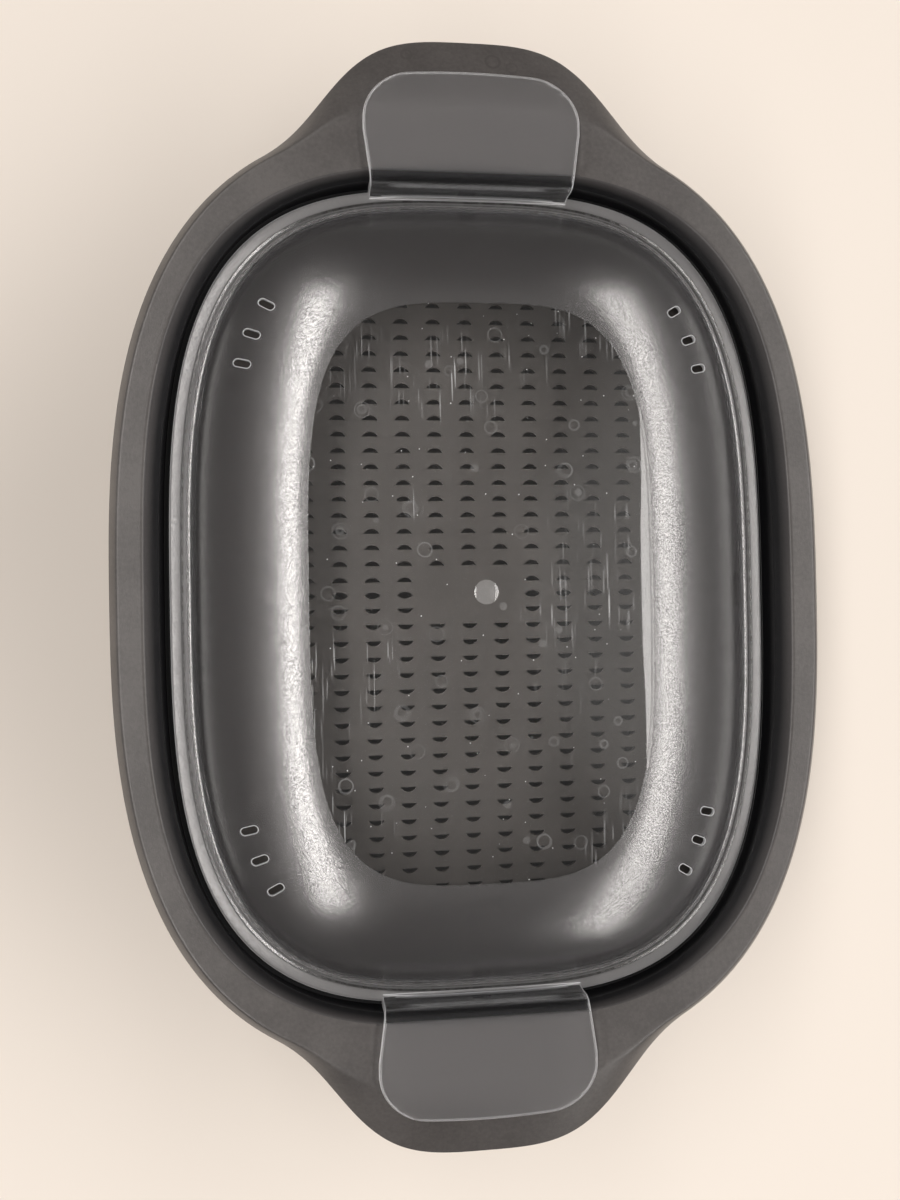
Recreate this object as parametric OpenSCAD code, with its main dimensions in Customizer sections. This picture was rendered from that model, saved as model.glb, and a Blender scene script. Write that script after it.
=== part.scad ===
// Oval steaming attachment: a deep dish that stands on a round steam collar,
// a shallow perforated tray that hangs in it, and a clear domed lid with two lift tabs.
// Units are millimetres.  +X runs across the dish, +Y along it and +Z up.
// The origin is the centre of the collar's rest face.

/* [Outline] */
// Length over the two handles
overall_l = 388; // [366:1:410]
// Length of the oval rim without its handles
body_l = 328; // [315:1:345]
// Width over the rim
body_w = 249; // [240:1:262]
// Squareness of the oval rim (2 is an ellipse)
body_n = 2.76; // [2.4:0.02:3.2]
// Width of the oval that each handle is cut from
handle_w = 133; // [120:1:150]
// Squareness of that oval
handle_n = 3.4; // [2.8:0.1:4]
// Reach of the hollow blend between rim and handle
handle_blend = 25; // [16:1:32]

/* [Dish] */
// Height of the flat rim above the rest face
rim_h = 104; // [92:1:120]
// Length of the mouth at the rim's inner edge
mouth_l = 292; // [291:0.5:296]
// Width of the mouth at the rim's inner edge
mouth_w = 223; // [219:0.5:226]
// Squareness of the mouth
mouth_n = 3.03; // [2.9:0.01:3.2]
// Thickness of the dish wall
wall_t = 2.4; // [1.8:0.1:3]
// Radius that rounds the rim into the mouth
mouth_r = 1.4; // [0.8:0.1:2]
// Width of the sloping band below the mouth, at the sides
slope_w = 3.2; // [2.4:0.1:3.4]
// Width of that band at the ends
slope_end_w = 1.4; // [1:0.1:1.8]
// Depth of the foot of that band below the rim
slope_h = 5; // [4:0.1:6]
// Width of the turned-down lip along the sides
lip_w = 3; // [2:0.1:4.5]
// How far the lip drops along the sides
lip_drop = 5; // [3:0.1:7]
// Depth of the plain edge under the lip
lip_edge = 2.6; // [1.5:0.1:4]
// Length over the line where the handle plates start to fall
crease_l = 338; // [332:0.5:344]
// Width of the oval of that line
crease_w = 184; // [170:1:190]
// How much further than the lip the handle ends fall
grip_drop = 3; // [1:0.5:7]
// Width of the dish floor inside
floor_w = 171; // [166:1:176]
// Length of the dish floor inside
floor_l = 238; // [226:1:246]
// Thickness of the dish floor
floor_t = 2.6; // [2:0.1:3.5]
// Radius between floor and wall
floor_r = 12; // [8:0.5:16]

/* [Steam collar] */
// Outer diameter of the collar
collar_d = 158; // [140:1:160]
// Height of the collar below the dish floor
collar_h = 22; // [14:1:30]
// Wall of the collar
collar_t = 3; // [2.4:0.1:4]
// Width of the foot bead round the collar
bead_w = 1.4; // [0.6:0.1:2]

/* [Lid] */
// Length over the lid's flange
flange_l = 284; // [282:0.5:285]
// Width over the lid's flange
flange_w = 210.4; // [208:0.2:212]
// Squareness of the flange, the tray and their seat
flange_n = 3.22; // [3:0.02:3.4]
// Depth of the flange's upper face below the rim
flange_sink = 9.5; // [7:0.1:12]
// Thickness of the flange
flange_t = 1.8; // [1.4:0.1:2.4]
// Width of the flat flange
flange_flat = 3.7; // [3:0.1:4.2]
// Height of the step inside the flange
step_h = 1.4; // [0.8:0.1:2]
// Thickness of the lid's shell
lid_t = 2; // [1.6:0.1:2.6]
// Depth of the rib that drops inside the tray
lid_rib_h = 4.2; // [2:0.1:6]
// Length of the clear window
window_l = 196; // [186:1:204]
// Width of the clear window
window_w = 117.5; // [108:0.5:126]
// Squareness of the window
window_n = 3.63; // [3:0.01:4.2]
// Height of the window's edge above the flange
window_rise = 18.6; // [14:0.2:24]
// Step between the frosted shoulder and the window
window_step = 0.6; // [0.3:0.1:1]
// Rise of the window from its edge to its middle
crown_rise = 4; // [2:0.1:7]
// Fullness of the shoulder's curve (2 is an ellipse)
shoulder_n = 1.4; // [1.3:0.05:2]
// Diameter of the moulding button in the middle
gate_d = 8.2; // [5:0.1:12]
// Height of that button
gate_h = 0.7; // [0.3:0.1:1.2]
// Number of vent slots at each corner
vent_count = 3; // [1:1:4]
// Length of a vent slot
vent_l = 6; // [4:0.1:8]
// Width of a vent slot
vent_w = 2.8; // [2:0.1:4]
// Distance of the vents from the edge of the flange
vent_inset = 20; // [17:0.5:24]
// Distance of the middle vent from the short centre line
vent_y = 88; // [80:0.5:94]
// Spacing of the vents along the dish
vent_pitch = 10; // [8:0.5:12]

/* [Lid tabs] */
// Width of a tab
tab_w = 75.4; // [60:0.5:84]
// Width of a tab where it leaves the flange
tab_root_w = 70; // [56:0.5:74]
// Length over both tabs
tab_l = 359; // [350:0.5:366]
// Corner radius of a tab
tab_r = 16; // [8:0.5:22]
// Thickness of a tab
tab_t = 2; // [1.6:0.1:2.6]
// Clearance between a tab and the handle plate
tab_gap = 0.6; // [0.4:0.1:1.2]
// Width of the moulded edge round a tab
tab_edge_w = 0.9; // [0.8:0.1:2]
// Height of that edge
tab_edge_h = 0.3; // [0.2:0.1:1]
// How far a tab's end dips over the falling handle plate
tab_dip = 1.5; // [0:0.1:2]

/* [Tray] */
// Depth of the tray from its rim to its floor
tray_depth = 13.2; // [9:0.1:20]
// Thickness of the tray's walls
tray_t = 1.6; // [1.2:0.1:2]
// Thickness of the tray's rim and floor
tray_floor_t = 2; // [1.6:0.1:2.6]
// Draft of the tray's wall
tray_draft = 1.3; // [0.6:0.1:2]
// How far the tray's rim stays inside the lid's flange
tray_inset = 0.4; // [0.2:0.1:1]
// Clearance between a part and the one that it drops into
seat_gap = 0.8; // [0.5:0.1:1.1]
// Width of the floor's slotted field
field_w = 197; // [170:1:197]
// Length of the floor's slotted field
field_l = 244; // [200:1:258]

/* [Slots] */
// Length of a half-moon slot
slot_l = 7.2; // [5:0.1:8.5]
// Width of a half-moon slot
slot_w = 2.2; // [1.6:0.1:3]
// Spacing of the slots across the dish
pitch_x = 11.68; // [10.6:0.02:14]
// Spacing of the slots along the dish
pitch_y = 5.84; // [5.2:0.02:8]

/* [Hidden] */

steps = 100;             // points round every oval
shoulder_steps = 6;      // rings up the lid's shoulder
crown_steps = 3;         // rings across the window
window_round = 0.01;     // overshoot of the window's edge, as a share of the shoulder's width
over = 1;                // overshoot of a cut
hide = 0.2;              // how far a surface is sunk into the one that it meets
field_n = 2.6;           // squareness of the tray's slotted field
floor_n = 2.8;           // squareness of the dish floor
fine = 96;               // facets of a large circle
arc = 28;                // facets of a small circle

// ---- Heights, measured from the rest face ----
flange_top = rim_h - flange_sink;
flange_bottom = flange_top - flange_t;
ledge_top = flange_bottom - tray_floor_t;
tray_floor_top = flange_bottom - tray_depth;
dish_floor_top = collar_h + floor_t;
window_edge = flange_top + window_rise;

// ---- Insets from the edge of the lid's flange, going inwards ----
step_in = flange_flat + 0.3;
rib_out = step_in + 1.8;
rib_in = rib_out + lid_t * 0.8;
tray_in = rib_out - seat_gap;
tray_out = tray_in - tray_t;
ledge_in = tray_out - seat_gap;
ledge_out = -2;
tab_root_y = flange_l / 2 - flange_flat;

function mix(p, q, s) = p + (q - p) * s;

// Radius of a superellipse with half axes a and b in the direction th.
function oval(th, a, b, n) = pow(pow(abs(cos(th)) / a, n) + pow(abs(sin(th)) / b, n), -1 / n);

// The larger of two radii, with a smooth blend of reach k where they cross.
function soft_max(p, q, k) = max(p, q) + pow(max(k - abs(p - q), 0), 2) / (4 * k);

// Directions of the points, spread evenly along a long oval.
directions = [for (i = [0 : steps - 1]) atan2(body_l * sin(360 * i / steps), body_w * cos(360 * i / steps))];

function ring(a, b, n, z) = [for (th = directions) let (r = oval(th, a, b, n)) [r * cos(th), r * sin(th), z]];

// The same inset all round from the lid's flange.
function seat_ring(inset, z) = ring(flange_w / 2 - inset, flange_l / 2 - inset, flange_n, z);

// ---- Curves of the rim and its handles, as radii in a direction ----
function edge_r(th) = soft_max(
    oval(th, body_w / 2, body_l / 2, body_n),
    oval(th, handle_w / 2, overall_l / 2, handle_n),
    handle_blend);
function crease_r(th) = soft_max(
    oval(th, body_w / 2 - lip_w, body_l / 2 - lip_w, body_n),
    oval(th, crease_w / 2, crease_l / 2, mouth_n),
    lip_w);
function fall(th) = lip_drop + grip_drop * (edge_r(th) - crease_r(th) - lip_w) / ((overall_l - crease_l) / 2 - lip_w);

// A point of the falling border: s is 0 at the crease and 1 at the edge, and the rest
// shifts it inwards and downwards.
function border(s, inset, down) = [for (th = directions)
    let (r = mix(crease_r(th), edge_r(th), s) - inset)
    [r * cos(th), r * sin(th), rim_h - fall(th) * pow(s, 1.5) - down]];

// Faces between neighbouring rings of points, and flat caps for the first and last.
function band(k, last) = [for (i = [0 : steps - 1])
    let (j = (i + 1) % steps, p = k * steps, q = (k + 1) % last * steps)
    each [[p + i, p + j, q + j], [p + i, q + j, q + i]]];

// Closed section swept round the dish: the last ring joins the first again.
module swept_ring(rings) {
    polyhedron(
        points = [for (r = rings) each r],
        faces = [for (k = [0 : len(rings) - 1]) each band(k, len(rings))],
        convexity = 10);
}

// Stack of rings closed by a flat face at each end.
module swept_shell(rings) {
    last = len(rings);
    polyhedron(
        points = [for (r = rings) each r],
        faces = concat(
            [[for (i = [steps - 1 : -1 : 0]) i]],
            [for (k = [0 : last - 2]) each band(k, last)],
            [[for (i = [0 : steps - 1]) (last - 1) * steps + i]]),
        convexity = 10);
}

// Flat plate in the outline of an oval.
module oval_plate(a, b, n, z, t) {
    translate([0, 0, z])
        linear_extrude(t)
            difference() {
                polygon([for (p = ring(a, b, n, 0)) [p[0], p[1]]]);
                children();
            }
}

// One slot: a half moon whose straight side faces the middle, or a lens on the centre line.
module half_moon(side) {
    rise = side == 0 ? slot_w * 0.7 : slot_w;
    r = (pow(slot_l / 2, 2) + pow(rise, 2)) / (2 * rise);
    intersection() {
        translate([0, (side == 0 ? rise : side * slot_w / 2) - (side < 0 ? -r : r)]) circle(r, $fn = arc);
        if (side == 0)
            translate([0, r - rise]) circle(r, $fn = arc);
        else
            square([slot_l + over, slot_w], center = true);
    }
}

// Field of half moons inside an oval, with a blank patch of the given half width in columns.
module slot_field(a, b, n, blank) {
    columns = floor(a / pitch_x);
    rows = floor(b / pitch_y);
    for (i = [-columns : columns], j = [-rows : rows])
        if (pow((abs(i) * pitch_x + slot_l / 2) / a, n) + pow((abs(j) * pitch_y + slot_w / 2) / b, n) <= 1
            && (abs(i) > blank || abs(j) > blank))
            translate([i * pitch_x, j * pitch_y]) half_moon(sign(j));
}

// ---- Dish ----
module dish_wall() {
    seat_foot = ledge_top - tray_depth - seat_gap;
    foot_a = floor_w / 2;
    foot_b = floor_l / 2;
    knee = 0.3;
    wall_a = foot_a + floor_r * 0.9;
    wall_b = foot_b + floor_r * 0.9;
    swept_ring([
        ring(foot_a - floor_r / 2, foot_b - floor_r / 2, floor_n, collar_h - hide),
        ring(foot_a - floor_r / 2, foot_b - floor_r / 2, floor_n, dish_floor_top),
        ring(foot_a, foot_b, floor_n, dish_floor_top),
        ring(mix(foot_a, wall_a, 0.65), mix(foot_b, wall_b, 0.65), floor_n, dish_floor_top + floor_r * knee),
        ring(wall_a, wall_b, floor_n, dish_floor_top + floor_r),
        seat_ring(ledge_in + 1, seat_foot),
        seat_ring(ledge_in, ledge_top),
        seat_ring(ledge_out, ledge_top),
        ring(mouth_w / 2 - slope_w, mouth_l / 2 - slope_end_w, mouth_n, rim_h - slope_h),
        ring(mouth_w / 2, mouth_l / 2, mouth_n, rim_h - mouth_r),
        ring(mouth_w / 2 + mouth_r * 0.4, mouth_l / 2 + mouth_r * 0.4, mouth_n, rim_h - mouth_r * 0.3),
        ring(mouth_w / 2 + mouth_r, mouth_l / 2 + mouth_r, mouth_n, rim_h),
        border(0, 0.4, 0),
        border(0.4, 0, 0),
        border(0.75, 0, 0),
        border(1, 0, 0),
        border(1, 0, lip_edge),
        border(1, wall_t * 0.7, lip_edge),
        border(0.75, wall_t * 0.7, wall_t),
        border(0, wall_t * 0.7, wall_t),
        ring(mouth_w / 2 + wall_t, mouth_l / 2 + wall_t, mouth_n, rim_h - wall_t),
        seat_ring(ledge_out - wall_t, ledge_top - wall_t / 2),
        seat_ring(ledge_in + 1 - wall_t, ledge_top - wall_t * 2),
        seat_ring(ledge_in + 1 - wall_t, seat_foot),
        ring(wall_a + wall_t, wall_b + wall_t, floor_n, dish_floor_top + floor_r),
        ring(mix(foot_a, wall_a, 0.65) + wall_t * 0.75, mix(foot_b, wall_b, 0.65) + wall_t * 0.75, floor_n,
            collar_h + floor_r * knee),
        ring(foot_a, foot_b, floor_n, collar_h - hide)]);
}

module steam_collar() {
    r = collar_d / 2;
    rotate_extrude($fn = fine)
        polygon([
            [r - collar_t, 0],
            [r + bead_w, 0],
            [r + bead_w, bead_w],
            [r, bead_w * 2],
            [r, collar_h + floor_t / 2],
            [r - collar_t, collar_h + floor_t / 2]]);
}

module dish() {
    drain_r = collar_d / 2 - collar_t - slot_w;
    color("#47484b") {
        union() {
            dish_wall();
            oval_plate(floor_w / 2 - floor_r / 4, floor_l / 2 - floor_r / 4, floor_n, collar_h, floor_t - hide)
                slot_field(drain_r, drain_r, 2, -1);
            steam_collar();
        }
    }
}

// ---- Tray ----
module tray() {
    foot = tray_in + tray_draft;
    land = foot + tray_t * 1.5;
    color("#5a5a5b") {
        union() {
            swept_ring([
                seat_ring(land, tray_floor_top - tray_floor_t),
                seat_ring(land, tray_floor_top),
                seat_ring(foot, tray_floor_top),
                seat_ring(tray_in, flange_bottom),
                seat_ring(tray_inset, flange_bottom),
                seat_ring(tray_inset, ledge_top),
                seat_ring(tray_out, ledge_top),
                seat_ring(foot - tray_t, tray_floor_top - tray_floor_t)]);
            oval_plate(flange_w / 2 - mix(foot, land, 0.5), flange_l / 2 - mix(foot, land, 0.5), flange_n,
                tray_floor_top - tray_floor_t + hide / 2, tray_floor_t - hide)
                slot_field(field_w / 2, field_l / 2, field_n, 1);
        }
    }
}

// ---- Lid ----
lid_a = flange_w / 2;
lid_b = flange_l / 2;
wall_in = rib_in;                            // where the shoulder starts to rise
edge_r0 = 0.4;                               // rounding of the flange's edge
shoulder_top = window_edge - window_step;
shoulder_foot = flange_top + step_h;

// Ring between the lid's flange edge (s = 0) and the window's edge (s = 1).
function lid_ring(s, z) = ring(mix(lid_a, window_w / 2, s), mix(lid_b, window_l / 2, s), mix(flange_n, window_n, s), z);
function inset_s(inset) = inset / (lid_a - window_w / 2);

// Height of the shoulder's curve, w running from 0 at its foot to 1 at the window.
function shoulder(w) = pow(1 - pow(1 - w, shoulder_n), 1 / shoulder_n);

// Rings of the shoulder from the window's edge down to just above its foot.
function shoulder_rings(inset, low, high) = [for (k = [shoulder_steps : -1 : 1])
    let (w = 1 - cos(90 * k / shoulder_steps))
    lid_ring(mix(inset_s(inset), 1, w), mix(low, high, shoulder(w)))];

// Rings of the window, from near its middle out to its edge.
function crown_rings(edge) = [for (k = [crown_steps : -1 : 1])
    let (q = 1 - k / (crown_steps + 0.5))
    ring(window_w / 2 * q, window_l / 2 * q, mix(2, window_n, q), edge + crown_rise * (1 - q * q))];

function reversed(list) = [for (k = [len(list) - 1 : -1 : 0]) list[k]];

module lid_shell() {
    swept_shell(concat(
        crown_rings(window_edge),
        [lid_ring(1 + window_round, window_edge)],
        shoulder_rings(wall_in, shoulder_foot, shoulder_top),
        [
            seat_ring(wall_in, shoulder_foot),
            seat_ring(step_in, shoulder_foot),
            seat_ring(flange_flat, flange_top),
            seat_ring(edge_r0, flange_top),
            seat_ring(0, flange_bottom + flange_t / 2),
            seat_ring(edge_r0, flange_bottom),
            seat_ring(rib_out, flange_bottom),
            seat_ring(rib_out, flange_bottom - lid_rib_h),
            seat_ring(rib_in, flange_bottom - lid_rib_h),
            seat_ring(rib_in, flange_bottom)],
        reversed(shoulder_rings(wall_in + lid_t * 0.9, shoulder_foot - lid_t * 0.4, shoulder_top - lid_t)),
        reversed(crown_rings(window_edge - lid_t))));
}

// Outline of one tab, seen from above, drawn smaller by the given inset.
module tab_outline(inset) {
    half = tab_w / 2 - inset;
    root = tab_root_w / 2 - inset;
    end = tab_l / 2 - inset;
    r = tab_r - inset;
    neck = end - r - tab_r / 4;
    polygon([[-root, tab_root_y], [root, tab_root_y], [half, neck], [-half, neck]]);
    translate([-half, neck - over / 2]) square([2 * half, end - r - neck + over / 2]);
    translate([r - half, neck - over / 2]) square([2 * (half - r), end - neck + over / 2]);
    for (side = [-1, 1])
        translate([side * (half - r), end - r]) circle(r, $fn = fine);
}

// Side view of one tab, extruded across it: a web that climbs out of the dish and a plate
// over the handle, with its upper face raised by the given height.
module tab_profile(raise) {
    low = rim_h + tab_gap;
    high = low + tab_t + raise;
    slope_a = mouth_w / 2 - slope_w;
    slope_b = mouth_l / 2 - slope_end_w;
    web_y = slope_b * pow(1 - pow(tab_w / 2 / slope_a, mouth_n), 1 / mouth_n) - seat_gap;
    bend_y = web_y + slope_end_w + mouth_r;
    fall_y = crease_l / 2 - lip_w;
    rotate([90, 0, 90])
        linear_extrude(tab_w + 2 * over, center = true)
            polygon([
                [tab_root_y, flange_bottom + hide],
                [flange_l / 2 - 1, flange_bottom + hide],
                [web_y, rim_h - slope_h],
                [web_y, rim_h - mouth_r],
                [bend_y - mouth_r, low - tab_gap / 2],
                [bend_y, low],
                [fall_y, low],
                [tab_l / 2 + over, low - tab_dip],
                [tab_l / 2 + over, high - tab_dip],
                [fall_y, high],
                [bend_y, high],
                [bend_y - tab_t, high - tab_t * 0.3],
                [web_y - tab_t * 0.7, high - tab_t],
                [web_y - tab_t, rim_h - mouth_r],
                [web_y - tab_t, rim_h - slope_h],
                [tab_root_y + tab_t * 0.4, flange_top - hide],
                [tab_root_y, flange_top - hide]]);
}

module tab() {
    intersection() {
        tab_profile(0);
        linear_extrude(rim_h * 2) tab_outline(0);
    }
    intersection() {
        tab_profile(tab_edge_h);
        linear_extrude(rim_h * 2)
            difference() {
                tab_outline(0);
                tab_outline(tab_edge_w);
            }
    }
}

// The vents of one corner: slots that point outwards, in a row along the shoulder.
module corner_vents() {
    s = inset_s(vent_inset);
    a = mix(lid_a, window_w / 2, s);
    b = mix(lid_b, window_l / 2, s);
    n = mix(flange_n, window_n, s);
    for (k = [0 : vent_count - 1]) {
        y = vent_y + (k - (vent_count - 1) / 2) * vent_pitch;
        x = a * pow(1 - pow(y / b, n), 1 / n);
        translate([x, y])
            rotate(atan2(pow(y / b, n - 1) / b, pow(x / a, n - 1) / a)) {
                square([vent_l - vent_w, vent_w], center = true);
                for (side = [-1, 1])
                    translate([side * (vent_l - vent_w) / 2, 0]) circle(d = vent_w, $fn = arc);
            }
    }
}

module lid() {
    color([0.80, 0.82, 0.84, 0.55]) {
        difference() {
            union() {
                lid_shell();
                for (turn = [0, 180])
                    rotate(turn) tab();
                translate([0, 0, window_edge + crown_rise - lid_t])
                    cylinder(d = gate_d, h = lid_t + gate_h, $fn = arc);
            }
            translate([0, 0, flange_top])
                linear_extrude(window_rise + over)
                    for (flip_x = [0, 1], flip_y = [0, 1])
                        mirror([flip_x, 0]) mirror([0, flip_y]) corner_vents();
        }
    }
}

dish();
tray();
lid();
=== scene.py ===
"""Looks of the oval steaming set: finely meshed dish and clear lid, materials, stage, light and camera."""
import math

import bmesh
import bpy
import numpy as np
from mathutils import Euler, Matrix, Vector


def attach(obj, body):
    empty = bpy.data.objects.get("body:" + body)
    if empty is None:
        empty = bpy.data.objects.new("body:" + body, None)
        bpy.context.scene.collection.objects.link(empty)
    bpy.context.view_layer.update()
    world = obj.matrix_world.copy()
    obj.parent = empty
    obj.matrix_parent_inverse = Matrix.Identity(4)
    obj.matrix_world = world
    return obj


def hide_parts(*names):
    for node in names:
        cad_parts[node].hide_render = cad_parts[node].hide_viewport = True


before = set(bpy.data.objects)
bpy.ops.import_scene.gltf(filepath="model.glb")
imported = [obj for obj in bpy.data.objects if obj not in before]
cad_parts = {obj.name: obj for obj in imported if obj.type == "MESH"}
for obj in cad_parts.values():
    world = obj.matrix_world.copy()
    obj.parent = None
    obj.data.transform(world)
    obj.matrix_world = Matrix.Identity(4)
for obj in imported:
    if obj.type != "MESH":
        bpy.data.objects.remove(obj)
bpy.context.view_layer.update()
MM = 0.001

# ---- Sizes in millimetres, as in the part's source ----
OVERALL_L, BODY_L, BODY_W, BODY_N = 388, 328, 249, 2.76
HANDLE_W, HANDLE_N, HANDLE_BLEND = 133, 3.4, 25
WALL_T, LIP_DROP, LIP_EDGE, GRIP_DROP, CREASE_W = 2.4, 5, 2.6, 3, 184
FLOOR_W, FLOOR_L, FLOOR_N, FLOOR_T, FLOOR_R = 171, 238, 2.8, 2.6, 12
COLLAR_D, COLLAR_H, COLLAR_T, FOOT_BEAD = 158, 22, 3, 1.4
TRAY_DEPTH, TRAY_T, TRAY_FLOOR_T = 13.2, 1.6, 2
SLOT_L, SLOT_W, PITCH_X, PITCH_Y = 7.2, 2.2, 11.68, 5.84
FIELD_W, FIELD_L, FIELD_N, FIELD_BLANK = 197, 244, 2.6, 1
FLANGE_L, FLANGE_W, FLANGE_N = 284, 210.4, 3.22
WINDOW_L, WINDOW_W, WINDOW_N = 196, 117.5, 3.63
RIM_H, FLANGE_SINK, FLANGE_T, FLANGE_FLAT = 104, 9.5, 1.8, 3.7
STEP_H, LID_T, LID_RIB_H = 1.4, 2, 4.2
WINDOW_RISE, WINDOW_STEP, CROWN_RISE, SHOULDER_N = 18.6, 0.6, 4, 1.4
GATE_D, GATE_H = 8.2, 0.7
VENT_COUNT, VENT_L, VENT_W, VENT_INSET, VENT_Y, VENT_PITCH = 3, 6, 2.8, 20, 88, 10
TAB_W, TAB_ROOT_W, TAB_L, TAB_R, TAB_T = 75.4, 70, 359, 16, 2
TAB_GAP, TAB_EDGE_W, TAB_EDGE_H, TAB_DIP = 0.6, 0.9, 0.3, 1.5
MOUTH_L, MOUTH_W, MOUTH_N, MOUTH_R = 292, 223, 3.03, 1.4
SLOPE_W, SLOPE_END_W, SLOPE_H = 3.2, 1.4, 5
CREASE_L, LIP_W, SEAT_GAP = 338, 3, 0.8

FLANGE_TOP = RIM_H - FLANGE_SINK
FLANGE_BOTTOM = FLANGE_TOP - FLANGE_T
WINDOW_EDGE = FLANGE_TOP + WINDOW_RISE
STEP_IN = FLANGE_FLAT + 0.3
RIB_OUT = STEP_IN + 1.8
RIB_IN = RIB_OUT + LID_T * 0.8
SHOULDER_TOP = WINDOW_EDGE - WINDOW_STEP
SHOULDER_FOOT = FLANGE_TOP + STEP_H
TAB_ROOT_Y = FLANGE_L / 2 - FLANGE_FLAT
SLOPE_A = MOUTH_W / 2 - SLOPE_W
SLOPE_B = MOUTH_L / 2 - SLOPE_END_W
WEB_Y = SLOPE_B * (1 - (TAB_W / 2 / SLOPE_A) ** MOUTH_N) ** (1 / MOUTH_N) - SEAT_GAP
FOLD_R = SLOPE_END_W + MOUTH_R
FOLD_END_Y = WEB_Y + FOLD_R
LEDGE_TOP = FLANGE_BOTTOM - TRAY_FLOOR_T
LEDGE_IN = RIB_OUT - SEAT_GAP - TRAY_T - SEAT_GAP
LEDGE_OUT = -2
SEAT_FOOT = LEDGE_TOP - TRAY_DEPTH - SEAT_GAP
DISH_FLOOR_TOP = COLLAR_H + FLOOR_T

# ---- Fineness of the modelled pieces, and forms too slight for the part's source ----
STEPS = 400             # points round every oval of the lid
DISH_STEPS = 1000       # points round every oval of the dish
RECESS_DEPTH = 0.6      # how far the handle plate is sunk under a tab, mm
RECESS_HALF = 41.5      # half width of that hollow, mm
RECESS_SIDE = 5.0       # width of its sides, mm
CREASE_SLOPE = 0.45     # share of the plate's fall that starts at once at the crease
SHOULDER_RINGS = 26     # rings up the shoulder
CROWN_RINGS = 26        # rings across the window
CROWN_CROWDING = 1.6    # how much closer together they are at its edge, 1 being even
WINDOW_LIP = 0.08       # how far the step at the window's edge starts below it, mm
CROWN_ROLL = 0.03       # how far the window falls away in its last millimetres, mm
CROWN_ROLL_FROM = 0.95  # where it starts to, as a share of its size
TAB_EDGE_ROUND = 0.35   # rounding of a tab's edge, mm
EDGE_LINE = 0.25        # width of the white line along a moulded edge, a painted highlight, mm
VENT_BEAD = 0.14        # radius of the burr round a vent, mm
TAB_ARCH = 2.4          # how far a tab's end curves back at its corners, mm
LINE_W = 0.25           # width of the fine lines between flange and shoulder, mm
LINE_BEAD = (1.0, 1.5)  # where the middle one lies, in from the edge of the step, mm
LINE_RISE = 0.06        # how far that one stands up, mm
ROOT_BEAD = 0.22        # radius of the bead where a tab leaves the flange, mm
ROOT_INSET = 2.3        # distance of that bead from the flange's edge, mm
SINK = 0.15             # how far tab and button reach into the shell, mm
MOON_L, MOON_W = 5.6, 1.75  # the tray's slots as seen, each inside the wider slot of the solid, mm
TRAY_SKIN = 0.02        # how far the skin with those slots stands proud of the tray's floor, mm
PLATE_INSET = 0.1       # how far the dish's slotted floor lies inside the rest of the floor, mm
MOON_POINTS = 13        # points along the arc of a slot
DISH_SHARP, LID_SHARP = 34, 38      # degrees: edges sharper than this stay sharp in the shading
UPRIGHT = 0.02          # a face is upright where its normal rises or falls by less than this
FACE_MARGIN = 0.05      # slack in telling faces apart by where they lie, mm


# ======== Shapes ========

def directions(steps):
    """Directions of points spread evenly along a long oval."""
    turn = np.linspace(0, 2 * math.pi, steps, endpoint=False)
    return np.arctan2(BODY_L * np.sin(turn), BODY_W * np.cos(turn))


LID_TURNS = directions(STEPS)
DISH_TURNS = directions(DISH_STEPS)


def oval(th, a, b, n):
    """Radius of a superellipse with half axes a and b in the direction th."""
    return (abs(np.cos(th) / a) ** n + abs(np.sin(th) / b) ** n) ** (-1 / n)


def placed(r, z, turns):
    return np.stack([r * np.cos(turns), r * np.sin(turns), z + 0 * r], axis=1)


def ring(a, b, n, z, turns=LID_TURNS):
    return placed(oval(turns, a, b, n), z, turns)


def seat_ring(inset, z, turns=LID_TURNS):
    """Ring at the same inset all round from the edge of the lid's flange."""
    return ring(FLANGE_W / 2 - inset, FLANGE_L / 2 - inset, FLANGE_N, z, turns)


def mix(p, q, s):
    return p + (q - p) * s


def lid_ring(s, z):
    """Ring between the flange's edge (s = 0) and the window's edge (s = 1)."""
    return ring(*lid_oval(s), z)


def lid_oval(s):
    """Half axes and squareness of the oval at s."""
    return mix(FLANGE_W, WINDOW_W, s) / 2, mix(FLANGE_L, WINDOW_L, s) / 2, mix(FLANGE_N, WINDOW_N, s)


def inset_s(inset):
    return inset / ((FLANGE_W - WINDOW_W) / 2)


def seat_inset(x, y):
    """Inset of the seat_ring that passes through a point, found by halving."""
    low, high = -1.0, FLANGE_W / 4
    for _ in range(18):
        middle = (low + high) / 2
        a, b = FLANGE_W / 2 - middle, FLANGE_L / 2 - middle
        if abs(x / a) ** FLANGE_N + abs(y / b) ** FLANGE_N < 1:
            low = middle
        else:
            high = middle
    return low


def shoulder(w):
    """Height of the shoulder's curve, w running from 0 at its foot to 1 at the window."""
    return (1 - max(1 - w, 0) ** SHOULDER_N) ** (1 / SHOULDER_N)


def mesh_object(name, verts, faces):
    mesh = bpy.data.meshes.new(name)
    mesh.from_pydata([tuple(v) for v in verts], [], faces)
    mesh.validate()
    mesh.update()
    obj = bpy.data.objects.new(name, mesh)
    bpy.context.scene.collection.objects.link(obj)
    return obj


def bands(count, first, last):
    """Quads between ring number first and ring number last of a list of rings."""
    here, there = first * count, last * count
    return [(here + i, here + (i + 1) % count, there + (i + 1) % count, there + i) for i in range(count)]


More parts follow.
